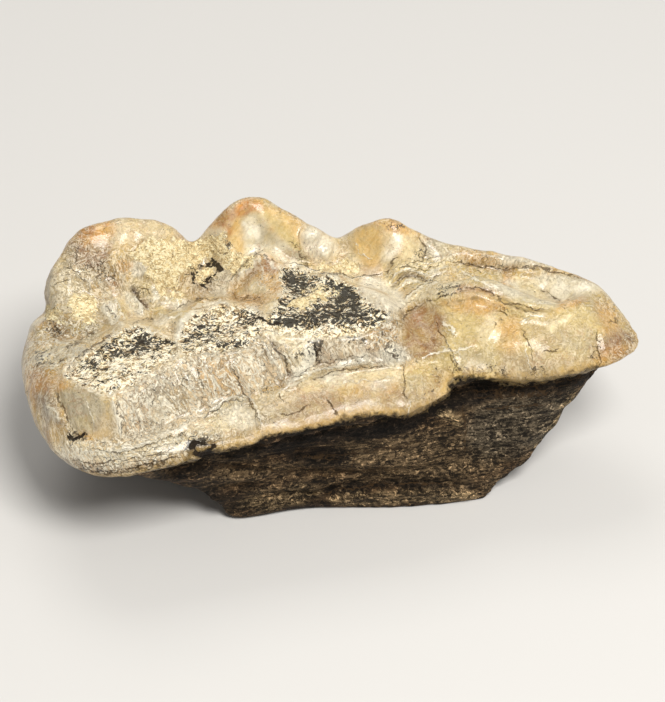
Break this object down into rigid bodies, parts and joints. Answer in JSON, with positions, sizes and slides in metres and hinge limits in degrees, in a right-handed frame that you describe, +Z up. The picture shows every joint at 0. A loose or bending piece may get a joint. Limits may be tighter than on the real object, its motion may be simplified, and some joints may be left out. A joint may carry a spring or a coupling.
{
  "type": "fossil cave bear tooth",
  "caption": "Fossil cave bear upper second molar: long low crown with cheek cusps, worn dentine fields and tapering talon on broken roots, a natural specimen to display or study",
  "frame": {"origin": "centre of the footprint, on the surface that the broken roots rest on", "axes": "+X along the crown from its broad front to the tip of the talon, +Y from the tongue side to the cheek side, +Z up through the chewing surface"},
  "size_m": [0.046, 0.022, 0.0187],
  "materials": {
    "tooth": "glossy cream and grey enamel over a dull dark brown root"
  },
  "bodies": {
    "root": {"tooth": "tooth"}
  },
  "joints": []
}
